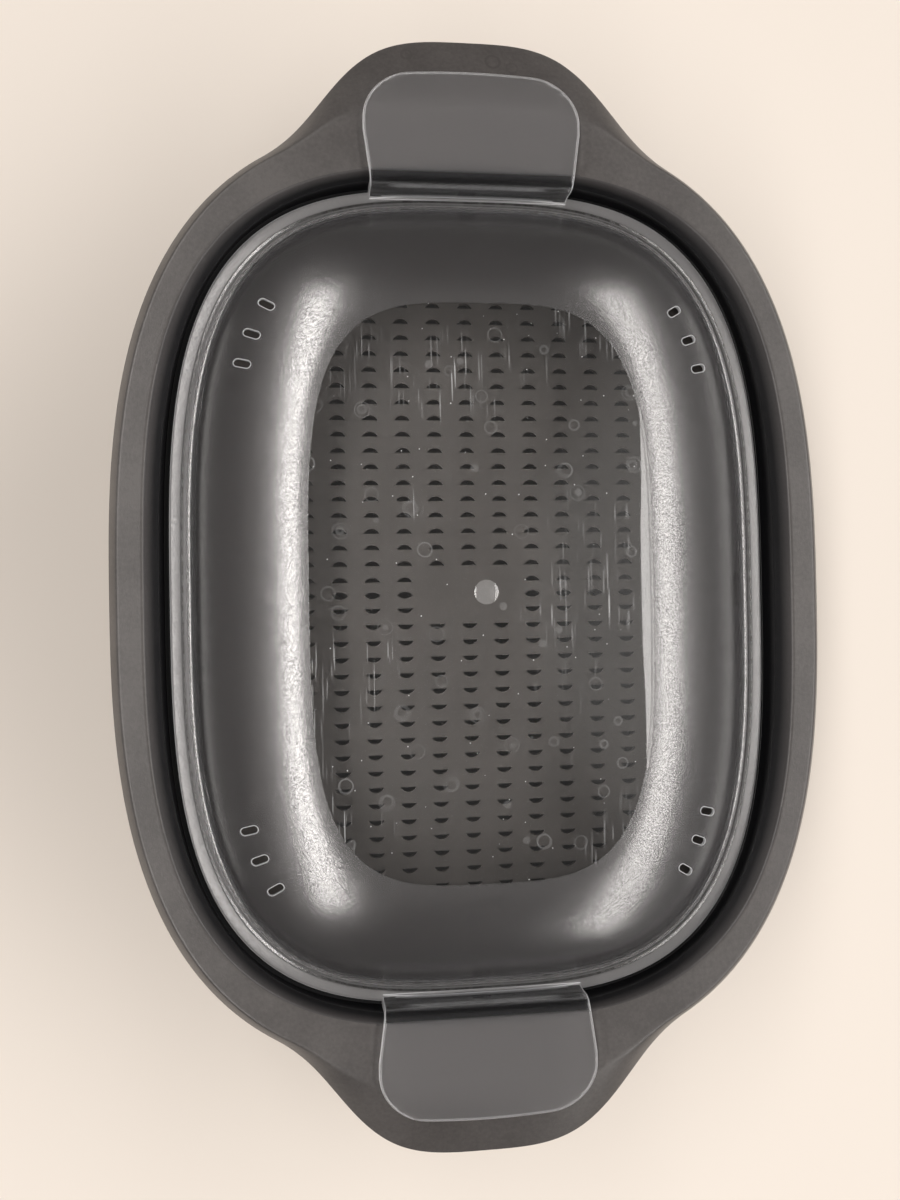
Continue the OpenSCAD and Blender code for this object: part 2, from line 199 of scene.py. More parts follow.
def domed_loft(name, rings, top_z, bottom_z):
    """Rings joined one to the next and closed at both ends by a middle point."""
    verts = np.concatenate(rings + [np.array([[0, 0, top_z], [0, 0, bottom_z]])])
    last = len(rings) - 1
    faces = [face for k in range(last) for face in bands(STEPS, k, k + 1)]
    top, bottom = len(verts) - 2, len(verts) - 1
    faces += [(top, (i + 1) % STEPS, i) for i in range(STEPS)]
    faces += [(bottom, last * STEPS + i, last * STEPS + (i + 1) % STEPS) for i in range(STEPS)]
    return mesh_object(name, verts * MM, [face[::-1] for face in faces])


def crown_rings(edge):
    """Rings of the window from near its middle out to its edge, closer together towards the edge."""
    rings = []
    for k in range(1, CROWN_RINGS + 1):
        q = 1 - (1 - k / CROWN_RINGS) ** CROWN_CROWDING
        roll = max(q - CROWN_ROLL_FROM, 0) / (1 - CROWN_ROLL_FROM)
        z = edge + CROWN_RISE * (1 - q * q) - CROWN_ROLL * roll ** 2
        rings.append(ring(WINDOW_W / 2 * q, WINDOW_L / 2 * q, mix(2, WINDOW_N, q), z))
    return rings


def shoulder_rings(inset, low, high):
    """Rings of the shoulder from the window's edge down to just above its foot."""
    rings = []
    for k in range(SHOULDER_RINGS, 0, -1):
        w = 1 - math.cos(math.pi / 2 * k / SHOULDER_RINGS)
        rings.append(lid_ring(mix(inset_s(inset), 1, w), mix(low, high, shoulder(w))))
    return rings


def soft_max(p, q, k):
    """The larger of two values, with a smooth blend of reach k where they cross."""
    return np.maximum(p, q) + np.maximum(k - abs(p - q), 0) ** 2 / (4 * k)


def smooth_step(x):
    x = np.clip(x, 0, 1)
    return x * x * (3 - 2 * x)


EDGE_R = soft_max(oval(DISH_TURNS, BODY_W / 2, BODY_L / 2, BODY_N),
                  oval(DISH_TURNS, HANDLE_W / 2, OVERALL_L / 2, HANDLE_N), HANDLE_BLEND)
CREASE_R = soft_max(oval(DISH_TURNS, BODY_W / 2 - LIP_W, BODY_L / 2 - LIP_W, BODY_N),
                    oval(DISH_TURNS, CREASE_W / 2, CREASE_L / 2, MOUTH_N), LIP_W)
FALL = LIP_DROP + GRIP_DROP * (EDGE_R - CREASE_R - LIP_W) / ((OVERALL_L - CREASE_L) / 2 - LIP_W)


def border(s, inset, down):
    """Ring on the falling border: s is 0 at the crease and 1 at the edge, then shifted inwards and down."""
    drop = FALL * (CREASE_SLOPE * s + (1 - CREASE_SLOPE) * s ** 1.5)
    return placed(mix(CREASE_R, EDGE_R, s) - inset, RIM_H - drop - down, DISH_TURNS)


def flat_rim(s):
    """Ring on the flat of the rim: s is 0 at the mouth and 1 at the crease, sunk where a tab lies over it."""
    mouth = oval(DISH_TURNS, MOUTH_W / 2 + MOUTH_R, MOUTH_L / 2 + MOUTH_R, MOUTH_N)
    points = placed(mix(mouth, CREASE_R - 0.4, s), RIM_H, DISH_TURNS)
    x, y = abs(points[:, 0]), abs(points[:, 1])
    sunk = smooth_step((RECESS_HALF - x) / RECESS_SIDE) * smooth_step((CREASE_L / 2 - y) / RECESS_SIDE)
    points[:, 2] -= RECESS_DEPTH * sunk * (y > MOUTH_L / 4)
    return points


def soften(rings, reaches, count=5):
    """Rings of a closed section, with the corners rounded that have a reach in millimetres."""
    softened = []
    for k, (corner, reach) in enumerate(zip(rings, reaches)):
        if reach == 0:
            softened.append(corner)
            continue
        ends = []
        for neighbour in (rings[k - 1], rings[(k + 1) % len(rings)]):
            leg = neighbour - corner
            ends.append(corner + leg / np.linalg.norm(leg, axis=1, keepdims=True) * reach)
        for t in np.linspace(0, 1, count):
            softened.append((1 - t) ** 2 * ends[0] + 2 * t * (1 - t) * corner + t * t * ends[1])
    return softened


def swept_ring(name, rings):
    """Closed section swept round: the last ring joins the first again."""
    count = len(rings[0])
    faces = [face[::-1] for k in range(len(rings)) for face in bands(count, k, (k + 1) % len(rings))]
    return mesh_object(name, np.concatenate(rings) * MM, faces)


def dish_wall():
    """Floor border, wall, ledge, rim with its falling border and lip, and back down outside."""
    def floor_ring(more, z):
        return ring(FLOOR_W / 2 + more, FLOOR_L / 2 + more, FLOOR_N, z, DISH_TURNS)

    over = MOUTH_R / (SLOPE_H - MOUTH_R)
    turns = np.linspace(0, math.pi / 2, 9)
    bend = [(FLOOR_R * 0.9 * math.sin(a), FLOOR_R * (1 - math.cos(a))) for a in turns]
    outer = [(more + WALL_T * math.sin(a), up - (FLOOR_T - 0.2) * math.cos(a))
             for (more, up), a in zip(bend, turns)]
    section = [(floor_ring(-FLOOR_R / 2, COLLAR_H), 0), (floor_ring(-FLOOR_R / 2, DISH_FLOOR_TOP), 0)]
    section += [(floor_ring(more, DISH_FLOOR_TOP + up), 0) for more, up in bend]
    section += [
        (seat_ring(LEDGE_IN + 1, SEAT_FOOT, DISH_TURNS), 1),
        (seat_ring(LEDGE_IN, LEDGE_TOP, DISH_TURNS), 0.5),
        (seat_ring(LEDGE_OUT, LEDGE_TOP, DISH_TURNS), 0.3),
        (ring(SLOPE_A, SLOPE_B, MOUTH_N, RIM_H - SLOPE_H, DISH_TURNS), 0.3),
        (ring(MOUTH_W / 2 + SLOPE_W * over, MOUTH_L / 2 + SLOPE_END_W * over, MOUTH_N, RIM_H, DISH_TURNS),
         0.9)]
    section += [(flat_rim(s), 0) for s in (0.12, 0.25, 0.4, 0.55, 0.7, 0.8, 0.88, 0.94, 1)]
    section += [(border(s, 0, 0), 0) for s in (0.06, 0.12, 0.2, 0.3, 0.4, 0.5, 0.6, 0.7, 0.8, 0.9)]
    section += [
        (border(1, 0, 0), 0.25),
        (border(1, 0, LIP_EDGE), 0.4),
        (border(1, WALL_T * 0.7, LIP_EDGE), 0.3),
        (border(0.75, WALL_T * 0.7, WALL_T), 0),
        (border(0.4, WALL_T * 0.7, WALL_T), 0),
        (border(0, WALL_T * 0.7, WALL_T), 0.2),
        (ring(MOUTH_W / 2 + WALL_T, MOUTH_L / 2 + WALL_T, MOUTH_N, RIM_H - WALL_T, DISH_TURNS), 0.2),
        (seat_ring(LEDGE_OUT - WALL_T, LEDGE_TOP - WALL_T / 2, DISH_TURNS), 0.5),
        (seat_ring(LEDGE_IN + 1 - WALL_T, LEDGE_TOP - WALL_T * 2, DISH_TURNS), 0.5),
        (seat_ring(LEDGE_IN + 1 - WALL_T, SEAT_FOOT, DISH_TURNS), 1)]
    section += [(floor_ring(more, DISH_FLOOR_TOP + up), 0) for more, up in outer[::-1]]
    rings, reaches = zip(*section)
    return swept_ring("dish_body", soften(rings, reaches))


def steam_collar():
    r, top = COLLAR_D / 2, COLLAR_H + FLOOR_T / 2
    corners = [(r - COLLAR_T, 0, 0.4), (r - COLLAR_T, top, 0), (r, top, 0), (r, 2 * FOOT_BEAD, 0.5),
               (r + FOOT_BEAD, FOOT_BEAD, 0.4), (r + FOOT_BEAD, 0, 0.4)]
    rings = [ring(radius, radius, 2, z, DISH_TURNS) for radius, z, _ in corners]
    return swept_ring("collar", soften(rings, [reach for _, _, reach in corners])[::-1])


def half_moon(side, length, width):
    """Outline of a slot: a half moon whose straight side faces the middle, or a lens on the centre line."""
    rise = width * 0.7 if side == 0 else width
    r = ((length / 2) ** 2 + rise ** 2) / (2 * rise)
    half = math.degrees(math.asin(length / 2 / r))
    if side == 0:
        upper = arc_points(0, rise - r, r, 90 - half, 90 + half, MOON_POINTS)
        return upper + [(-x, -y) for x, y in upper[1:-1]]
    arc = arc_points(0, width - SLOT_W / 2 - r, r, 90 - half, 90 + half, MOON_POINTS)
    return [(x, side * y) for x, y in arc]


def moon_field(a, b, n, blank, length=SLOT_L, width=SLOT_W):
    """Outlines of the slots inside an oval, but for a bare patch that reaches blank slots from the middle."""
    outlines = []
    columns, rows = int(a // PITCH_X), int(b // PITCH_Y)
    for i in range(-columns, columns + 1):
        for j in range(-rows, rows + 1):
            far_x, far_y = abs(i) * PITCH_X + SLOT_L / 2, abs(j) * PITCH_Y + SLOT_W / 2
            if (far_x / a) ** n + (far_y / b) ** n <= 1 and max(abs(i), abs(j)) > blank:
                moon = half_moon((j > 0) - (j < 0), length, width)
                outlines.append([(x + i * PITCH_X, y + j * PITCH_Y) for x, y in moon])
    return outlines


def pierced_plate(name, edge, holes, bottom, top):
    """Flat plate between two heights, with an edge that is a ring and with holes that are outlines."""
    curve = bpy.data.curves.new(name, "CURVE")
    curve.dimensions = "2D"
    curve.fill_mode = "BOTH"
    curve.extrude = (top - bottom) / 2 * MM
    for outline in [[(x, y) for x, y, _ in edge]] + holes:
        spline = curve.splines.new("POLY")
        spline.points.add(len(outline) - 1)
        spline.points.foreach_set("co", [v for x, y in outline for v in (x * MM, y * MM, 0, 1)])
        spline.use_cyclic_u = True
    drawn = bpy.data.objects.new(name + "_curve", curve)
    bpy.context.scene.collection.objects.link(drawn)
    graph = bpy.context.evaluated_depsgraph_get()
    plate = bpy.data.objects.new(name, bpy.data.meshes.new_from_object(drawn.evaluated_get(graph)))
    bpy.context.scene.collection.objects.link(plate)
    bpy.data.objects.remove(drawn)
    for vertex in plate.data.vertices:
        vertex.co.z += (bottom + top) / 2 * MM
    return plate


def tray_floor(material):
    """Skin on the tray's floor that brings its slots to the size they are seen at."""
    top = FLANGE_BOTTOM - TRAY_DEPTH
    moons = moon_field(FIELD_W / 2, FIELD_L / 2, FIELD_N, FIELD_BLANK, MOON_L, MOON_W)
    plate = pierced_plate("tray_floor", seat_ring(RIB_OUT - SEAT_GAP + TRAY_T + 0.3, 0), moons,
                          top - TRAY_FLOOR_T - TRAY_SKIN, top + TRAY_SKIN)
    plate.data.materials.append(material)
    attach(plate, "tray")


def drain_floor():
    """Floor plate of the dish with its half-moon slots over the collar."""
    reach = COLLAR_D / 2 - COLLAR_T - SLOT_W
    edge = ring(FLOOR_W / 2 - FLOOR_R / 4, FLOOR_L / 2 - FLOOR_R / 4, FLOOR_N, 0)
    return pierced_plate("drain_floor", edge, moon_field(reach, reach, 2, -1),
                         COLLAR_H + PLATE_INSET, DISH_FLOOR_TOP - PLATE_INSET)


def make_dish(outside, inside):
    """The dish; its second plastic, a darker copy of the first with painted shade, goes to every face
    below the mouth that doesn't point down.

    That takes in the outer wall as well as the inside.
    """
    dish = dish_wall()
    for face in dish.data.polygons:
        x, y, z = face.center / MM
        points_down = face.normal[2] <= -0.5
        mouth = oval(math.atan2(y, x), MOUTH_W / 2 + MOUTH_R, MOUTH_L / 2 + MOUTH_R, MOUTH_N)
        # Index 1 is the copy of the plastic with painted shade, nearly black deep in the gap.
        face.material_index = int(math.hypot(x, y) < mouth and z < RIM_H - 0.1 and not points_down)
    join(dish, [steam_collar(), drain_floor()], 0)
    dish.data.materials.append(outside)
    dish.data.materials.append(inside)
    dish.data.shade_smooth()
    dish.data.set_sharp_from_angle(angle=math.radians(DISH_SHARP))
    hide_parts("dish")
    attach(dish, "dish")


def lid_shell():
    """Clear dome with its window, shoulder, step, flange and the rib that drops into the tray."""
    mid = FLANGE_BOTTOM + FLANGE_T / 2
    rib_low = FLANGE_BOTTOM - LID_RIB_H
    rings = crown_rings(WINDOW_EDGE)
    rings += [lid_ring(0.9995, WINDOW_EDGE - CROWN_ROLL - WINDOW_LIP),
              lid_ring(0.999, SHOULDER_TOP + WINDOW_LIP / 2)]
    rings += shoulder_rings(RIB_IN, SHOULDER_FOOT, SHOULDER_TOP)
    bead_out, bead_in = STEP_IN + LINE_BEAD[0], STEP_IN + LINE_BEAD[1]
    rings += [
        seat_ring(RIB_IN, SHOULDER_FOOT + LINE_W / 2),
        seat_ring(RIB_IN - LINE_W, SHOULDER_FOOT),
        seat_ring(bead_in, SHOULDER_FOOT),
        seat_ring(bead_in - 0.1, SHOULDER_FOOT + LINE_RISE),
        seat_ring(bead_out + 0.1, SHOULDER_FOOT + LINE_RISE),
        seat_ring(bead_out, SHOULDER_FOOT),
        seat_ring(STEP_IN + LINE_W, SHOULDER_FOOT),
        seat_ring(STEP_IN, SHOULDER_FOOT - LINE_W / 2),
        seat_ring(FLANGE_FLAT + 0.05, FLANGE_TOP + 0.1),
        seat_ring(FLANGE_FLAT - 0.1, FLANGE_TOP),
        seat_ring(0.9, FLANGE_TOP),
        seat_ring(0.35, FLANGE_TOP - 0.15),
        seat_ring(0.08, FLANGE_TOP - 0.5),
        seat_ring(0, mid),
        seat_ring(0.08, FLANGE_BOTTOM + 0.4),
        seat_ring(0.4, FLANGE_BOTTOM),
        seat_ring(RIB_OUT - 0.2, FLANGE_BOTTOM),
        seat_ring(RIB_OUT, FLANGE_BOTTOM - 0.2),
        seat_ring(RIB_OUT, rib_low + 0.3),
        seat_ring(RIB_OUT + 0.3, rib_low),
        seat_ring(RIB_IN - 0.3, rib_low),
        seat_ring(RIB_IN, rib_low + 0.3),
        seat_ring(RIB_IN, FLANGE_BOTTOM)]
    rings += shoulder_rings(RIB_IN + LID_T * 0.9, SHOULDER_FOOT - LID_T * 0.4, SHOULDER_TOP - LID_T)[::-1]
    rings += crown_rings(WINDOW_EDGE - LID_T)[::-1]
    return domed_loft("lid_shell", rings, WINDOW_EDGE + CROWN_RISE, WINDOW_EDGE + CROWN_RISE - LID_T)


def prism(name, outline, low, high):
    """Closed prism over an outline in the plane, between two heights, all in millimetres."""
    count = len(outline)
    verts = [(x, y, z) for z in (low, high) for x, y in outline]
    faces = bands(count, 0, 1) + [tuple(range(count - 1, -1, -1)), tuple(range(count, 2 * count))]
    return mesh_object(name, np.array(verts) * MM, faces)


def arc_points(x, y, r, start, end, count):
    """Points of an arc about (x, y), from angle start to angle end in degrees."""
    return [(x + r * math.cos(math.radians(a)), y + r * math.sin(math.radians(a)))
            for a in np.linspace(start, end, count)]


def combine(target, tool, operation):
    """Boolean of two meshes, kept in the first."""
    bool_mod = target.modifiers.new(operation, "BOOLEAN")
    bool_mod.operation = operation
    bool_mod.object = tool
    bool_mod.solver = "EXACT"
    graph = bpy.context.evaluated_depsgraph_get()
    made = bpy.data.meshes.new_from_object(target.evaluated_get(graph))
    target.modifiers.clear()
    target.data = made
    bpy.data.objects.remove(tool)


def tab_stations():
    """Matching points (y, z) of a tab's lower and upper face, from inside the flange out to its end."""
    low = RIM_H + TAB_GAP
    high = low + TAB_T
    outer_fold = FOLD_R + TAB_T
    corner_y = TAB_L / 2 - TAB_R
    fall_y = CREASE_L / 2 - LIP_W
    lower = [(TAB_ROOT_Y, FLANGE_BOTTOM + SINK), (FLANGE_L / 2 - 1, FLANGE_BOTTOM + SINK),
             (WEB_Y, mix(FLANGE_BOTTOM, RIM_H - SLOPE_H, 0.6)), (WEB_Y, RIM_H - SLOPE_H)]
    upper = [(TAB_ROOT_Y, FLANGE_TOP - SINK), (TAB_ROOT_Y + TAB_T * 0.4, FLANGE_TOP - SINK),
             (WEB_Y - TAB_T - 0.2, mix(FLANGE_TOP, RIM_H - SLOPE_H, 0.6)), (WEB_Y - TAB_T, RIM_H - SLOPE_H)]
    lower += arc_points(WEB_Y + FOLD_R, low - FOLD_R, FOLD_R, 180, 90, 12)
    upper += arc_points(WEB_Y - TAB_T + outer_fold, high - outer_fold, outer_fold, 180, 90, 12)
    ys = list(np.linspace(FOLD_END_Y + 1, corner_y, 14))
    ys += [corner_y + TAB_R * math.sin(math.radians(a)) for a in np.linspace(3, 90, 36)]
    for y in ys:
        dip = TAB_DIP * max(0, (y - fall_y) / (TAB_L / 2 - fall_y)) ** 1.5
        lower.append((y, low - dip))
        upper.append((y, high - dip))
    return lower, upper


def tab_half_width(y):
    """Half the tab's width at a distance y from the middle of the lid."""
    half, root = TAB_W / 2, TAB_ROOT_W / 2
    corner = TAB_L / 2 - TAB_R
    neck = corner - TAB_R / 4
    if y > corner:
        return half - TAB_R + math.sqrt(max(TAB_R ** 2 - (y - corner) ** 2, 0))
    if y > neck:
        return half
    return mix(root, half, max(0, y - TAB_ROOT_Y) / (neck - TAB_ROOT_Y))


def tab_arch(x, y):
    """How far a point of the tab is set back for its end to be slightly curved."""
    return TAB_ARCH * (2 * x / TAB_W) ** 2 * max(0, (y - FOLD_END_Y) / (TAB_L / 2 - FOLD_END_Y))


def tab_edge_distance(x, y):
    """How far a point of the tab lies inside its outline."""
    across = abs(x) - (TAB_W / 2 - TAB_R)
    along = y - (TAB_L / 2 - TAB_R)
    if across > 0 and along > 0:
        return TAB_R - math.hypot(across, along)
    return min(tab_half_width(y) - abs(x), TAB_L / 2 - y)


def rounding(edge, r):
    """How far a rounded edge of radius r lies below the flat face beside it."""
    return r - math.sqrt(max(r * r - max(r - edge, 0) ** 2, 0)) if edge < r else 0.0


def bead(edge):
    """Height of the bead that runs just inside a tab's edge."""
    return TAB_EDGE_H * math.sin(math.pi * edge / TAB_EDGE_W) if 0 < edge < TAB_EDGE_W else 0.0


def tab(side):
    """One lift tab, at the +Y end (side 1) or the -Y end (side -1)."""
    offsets = np.array([0, 0.06, 0.15, 0.3, 0.5, 0.7, 0.9, 1.1, 1.3])
    middle = np.linspace(-1, 1, 19)[1:-1]
    lower, upper = tab_stations()
    verts = []
    for face, path in ((0, lower), (1, upper)):
        for y, z in path:
            half = tab_half_width(y)
            inner = half - offsets[-1]
            for x in np.concatenate([-half + offsets, middle * inner, half - offsets[::-1]]):
                edge = max(tab_edge_distance(x, y), 0)
                fall = rounding(edge, TAB_EDGE_ROUND)
                shift = bead(edge) - fall if face else fall
                verts.append((x * side, (y - tab_arch(x, y)) * side, z + shift * (y > FLANGE_L / 2)))
    columns = len(offsets) * 2 + len(middle)
    stations = len(lower)
    faces = []
    for k in range(stations - 1):
        a, b = k * columns, (k + 1) * columns
        c, d = a + stations * columns, b + stations * columns
        faces += [(a + i, b + i, b + i + 1, a + i + 1) for i in range(columns - 1)]
        faces += [(c + i, c + i + 1, d + i + 1, d + i) for i in range(columns - 1)]
        last = columns - 1
        faces += [(a, c, d, b), (a + last, b + last, d + last, c + last)]
    for k in (0, stations - 1):
        a, c = k * columns, (k + stations) * columns
        strip = [(a + i, a + i + 1, c + i + 1, c + i) for i in range(columns - 1)]
        faces += strip if k == 0 else [face[::-1] for face in strip]
    return mesh_object("tab", np.array(verts) * MM, faces)


def vent_outlines():
    """Outlines of all the vent slots, seen from above, each running the same way round."""
    a, b, n = lid_oval(inset_s(VENT_INSET))
    straight, r = (VENT_L - VENT_W) / 2, VENT_W / 2
    slot = arc_points(straight, 0, r, -90, 90, 14) + arc_points(-straight, 0, r, 90, 270, 14)
    outlines = []
    for side_x, side_y in ((1, 1), (-1, 1), (-1, -1), (1, -1)):
        for k in range(VENT_COUNT):
            y = VENT_Y + (k - (VENT_COUNT - 1) / 2) * VENT_PITCH
            x = a * (1 - (y / b) ** n) ** (1 / n)
            turn = math.atan2((y / b) ** (n - 1) / b, (x / a) ** (n - 1) / a)
            outline = [(side_x * (x + p * math.cos(turn) - q * math.sin(turn)),
                        side_y * (y + p * math.sin(turn) + q * math.cos(turn))) for p, q in slot]
            outlines.append(outline[::side_x * side_y])
    return outlines


def tube(name, path, radius, closed=True, sides=8):
    """Tube along a path of points, all in millimetres, closed on itself or capped at both ends."""
    count = len(path)
    path = np.array(path)
    along = np.roll(path, -1, 0) - np.roll(path, 1, 0) if closed else np.gradient(path, axis=0)
    along /= np.linalg.norm(along, axis=1, keepdims=True)
    outward = np.cross(along, (0, 0, 1))
    outward /= np.linalg.norm(outward, axis=1, keepdims=True)
    up = np.cross(outward, along)
    turns = np.linspace(0, 2 * math.pi, sides, endpoint=False)
    verts = np.concatenate([path + radius * (math.cos(t) * outward + math.sin(t) * up) for t in turns])
    faces = [face for k in range(sides) for face in bands(count, k, (k + 1) % sides)]
    if not closed:
        faces = [face for face in faces if (face[1] - face[0]) % count == 1]
        faces += [tuple(range(0, sides * count, count)), tuple(range(sides * count - 1, 0, -count))]
    return mesh_object(name, verts * MM, faces)


def root_bead(side):
    """Bead along the foot of a tab's web, which follows the edge of the flange."""
    xs = np.linspace(-TAB_ROOT_W / 2, TAB_ROOT_W / 2, 41)
    a, b = FLANGE_W / 2 - ROOT_INSET, FLANGE_L / 2 - ROOT_INSET
    ys = [b * (1 - abs(x / a) ** FLANGE_N) ** (1 / FLANGE_N) for x in xs]
    path = [(x * side, side * y, FLANGE_TOP + 0.1) for x, y in zip(xs, ys)]
    return tube("root_bead", path, ROOT_BEAD, closed=False)


def vent_burr(shell, outline):
    """Thin burr round a vent, laid on the outside of the shell."""
    path = []
    for x, y in outline:
        found, place, _, _ = shell.ray_cast(Vector((x, y, 2 * RIM_H)) * MM, Vector((0, 0, -1)))
        assert found
        path.append(np.array(place) / MM)
    return tube("vent_burr", path, VENT_BEAD)


def join(target, pieces, material_index):
    """Adds the meshes of some pieces to a target's, with one of its materials, and removes the pieces."""
    joined = bmesh.new()
    joined.from_mesh(target.data)
    for piece in pieces:
        piece.data.polygons.foreach_set("material_index", [material_index] * len(piece.data.polygons))
        joined.from_mesh(piece.data)
        bpy.data.objects.remove(piece)
    joined.to_mesh(target.data)
    joined.free()


def gate_button():
    """Small domed moulding mark in the middle of the window."""
    outline = arc_points(0, 0, GATE_D / 2, 0, 360, 65)[:-1]
    crown = WINDOW_EDGE + CROWN_RISE
    radii = (1.0, 0.93, 0.85, 0.75, 0.62, 0.5, 0.35, 0.2, 0.08)
    profile = [(1.0, crown - LID_T / 2)] + [(r, crown + GATE_H * (1 - 0.85 * r * r)) for r in radii]
    rings = [(x * r, y * r, z) for r, z in profile for x, y in outline]
    count, last = len(outline), len(profile) - 1
    faces = [face for k in range(last) for face in bands(count, k, k + 1)]
    faces.append(tuple(range(count - 1, -1, -1)))
    faces.append(tuple(range(last * count, (last + 1) * count)))
    return mesh_object("gate_button", np.array(rings) * MM, faces)


# Faces of the edge material are half milky white: a painted highlight for the light that gathers along the
# lid's edges.
WINDOW, SHOULDER, FLANGE, TAB, EDGE_HIGHLIGHT, FOLD, MARK, LINE = range(8)


def zone_of(centre, normal):
    """Number of the material that a face of the lid takes, from WINDOW to LINE.

    Faces that lie exactly at RIB_IN, on the inside of the rib, fall to either side by rounding.
    """
    x, y, z = centre / MM
    th = math.atan2(y, x)
    r = math.hypot(x, y)
    rim = oval(th, FLANGE_W / 2, FLANGE_L / 2, FLANGE_N)
    pane = oval(th, WINDOW_W / 2, WINDOW_L / 2, WINDOW_N)
    s = (rim - r) / (rim - pane)
    if s > 1.0:
        return MARK if r < GATE_D / 2 + FACE_MARGIN and z > WINDOW_EDGE + CROWN_RISE else WINDOW
    inset = seat_inset(x, y)
    if inset > RIB_IN:
        return EDGE_HIGHLIGHT if abs(normal[2]) < UPRIGHT else SHOULDER
    if inset > FLANGE_FLAT + 0.06:
        lines = ((0, LINE_W), LINE_BEAD, (RIB_IN - STEP_IN - LINE_W, RIB_IN - STEP_IN))
        on_line = any(low < inset - STEP_IN < high for low, high in lines)
        return FOLD if inset < STEP_IN else LINE if on_line and normal[2] > 0 else SHOULDER
    along = abs(y) + tab_arch(x, abs(y))
    if tab_edge_distance(x, along) < EDGE_LINE and z > FLANGE_TOP + FACE_MARGIN:
        return EDGE_HIGHLIGHT
    if z > FLANGE_TOP + 0.11 or inset < -FACE_MARGIN:
        return FOLD if along < FOLD_END_Y else TAB
    return FLANGE if inset > EDGE_LINE else EDGE_HIGHLIGHT


def make_lid(materials):
    lid = lid_shell()
    lid.name = "clear_lid"
    burrs = [vent_burr(lid, outline) for outline in vent_outlines()]
    for part in (tab(1), tab(-1), gate_button()):
        combine(lid, part, "UNION")
    for outline in vent_outlines():
        combine(lid, prism("vent", outline, FLANGE_TOP + 1, WINDOW_EDGE), "DIFFERENCE")
    for material in materials:
        lid.data.materials.append(material)
    for face in lid.data.polygons:
        face.material_index = zone_of(np.array(face.center), face.normal)
    # The beads and burrs take the edge's painted highlight too.
    join(lid, [root_bead(1), root_bead(-1)] + burrs, EDGE_HIGHLIGHT)
    lid.data.shade_smooth()
    lid.data.set_sharp_from_angle(angle=math.radians(LID_SHARP))
    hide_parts("lid")
    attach(lid, "lid")
    lid.visible_diffuse = False


# ======== Materials ========

CLOUD_SCALE, SMEAR_SCALE, PATCH_SCALE = 38, 26, 24      # noise per metre: tone, gloss, where scratches gather
SPECK_SIZE = 2.2        # size of the specks in the tone, in grains
EJECTOR_LINE = 0.5      # width of an ejector mark's line, mm
GRAINED_IOR = 1.58
PAINTED_GAP_SHADE = (0.006, 0.006, 0.007)    # painted shade: the near-black colour painted deep in the gap between dish and lid
# Gloss of the plastic painted with gap shade, kept low so that its reflections don't lift the painted shade.
GAP_GLOSS = 0.3
CLEAR_GLOSS = 0.9
GLINT = 1.3             # glints per grain
WORN_CLOUD, WORN_ROUGH = 0.75, 0.5  # clearness lost to wear, and its roughness
DUST_SPACING, DUST_SIZE = 5.5, (0.02, 0.045)            # mm, and shares of that
DROP_SPACING, DROP_RING, DROP_STRENGTH = 15, (0.17, 0.008, 0.018), 0.1
SCRATCHES = ((12, 34, 0.32), (-58, 22, 0.28), (71, 26, 0.3))    # turn in degrees, length and spacing in mm
SCRATCH_LEVEL, SCRATCH_STRENGTH = 0.72, 0.5


def new_material(name):
    material = bpy.data.materials.new(name)
    material.use_nodes = True
    return material, material.node_tree, material.node_tree.nodes["Principled BSDF"]


def add_node(tree, kind, **settings):
    """A node with its sockets or properties set by name, spaces written as underscores."""
    node = tree.nodes.new(kind)
    for key, value in settings.items():
        socket = key.replace("_", " ")
        if socket in node.inputs:
            node.inputs[socket].default_value = value
        else:
            setattr(node, key, value)
    return node


def coordinates(tree, scale=(1, 1, 1)):
    """Object coordinates, in metres, stretched by the given scale."""
    place = add_node(tree, "ShaderNodeTexCoord").outputs["Object"]
    mapping = add_node(tree, "ShaderNodeMapping", Scale=scale)
    tree.links.new(place, mapping.inputs["Vector"])
    return mapping.outputs["Vector"]


def noise(tree, scale, detail=2.0, roughness=0.5, stretch=(1, 1, 1)):
    node = add_node(tree, "ShaderNodeTexNoise", Scale=scale, Detail=detail, Roughness=roughness)
    tree.links.new(coordinates(tree, stretch), node.inputs["Vector"])
    return node.outputs["Fac"]


def ramp(tree, source, low, high, value_low, value_high):
    """Maps source from the range low to high onto the range value_low to value_high."""
    node = add_node(tree, "ShaderNodeMapRange",
                    From_Min=low, From_Max=high, To_Min=value_low, To_Max=value_high)
    tree.links.new(source, node.inputs["Value"])
    return node.outputs["Result"]


def math_node(tree, operation, a, b=None):
    node = add_node(tree, "ShaderNodeMath", operation=operation)
    for socket, value in ((0, a), (1, b)):
        if value is None:
            continue
        if isinstance(value, (int, float)):
            node.inputs[socket].default_value = value
        else:
            tree.links.new(value, node.inputs[socket])
    return node.outputs["Value"]


def colour_mix(tree, factor, first, second):
    """Mix of two colours, the first one red, green and blue, and the second so too or a node's output."""
    node = add_node(tree, "ShaderNodeMix", data_type="RGBA")
    node.inputs["A"].default_value = (*first, 1)
    if isinstance(second, tuple):
        node.inputs["B"].default_value = (*second, 1)
    else:
        tree.links.new(second, node.inputs["B"])
    tree.links.new(factor, node.inputs["Factor"])
    return node.outputs["Result"]


def height_of(tree, place):
    """Z of a place or direction."""
    node = add_node(tree, "ShaderNodeSeparateXYZ")
    tree.links.new(place, node.inputs["Vector"])
    return node.outputs["Z"]


def bump(tree, shader, height, strength, distance):
    node = add_node(tree, "ShaderNodeBump", Strength=strength, Distance=distance)
    tree.links.new(height, node.inputs["Height"])
    tree.links.new(node.outputs["Normal"], shader.inputs["Normal"])


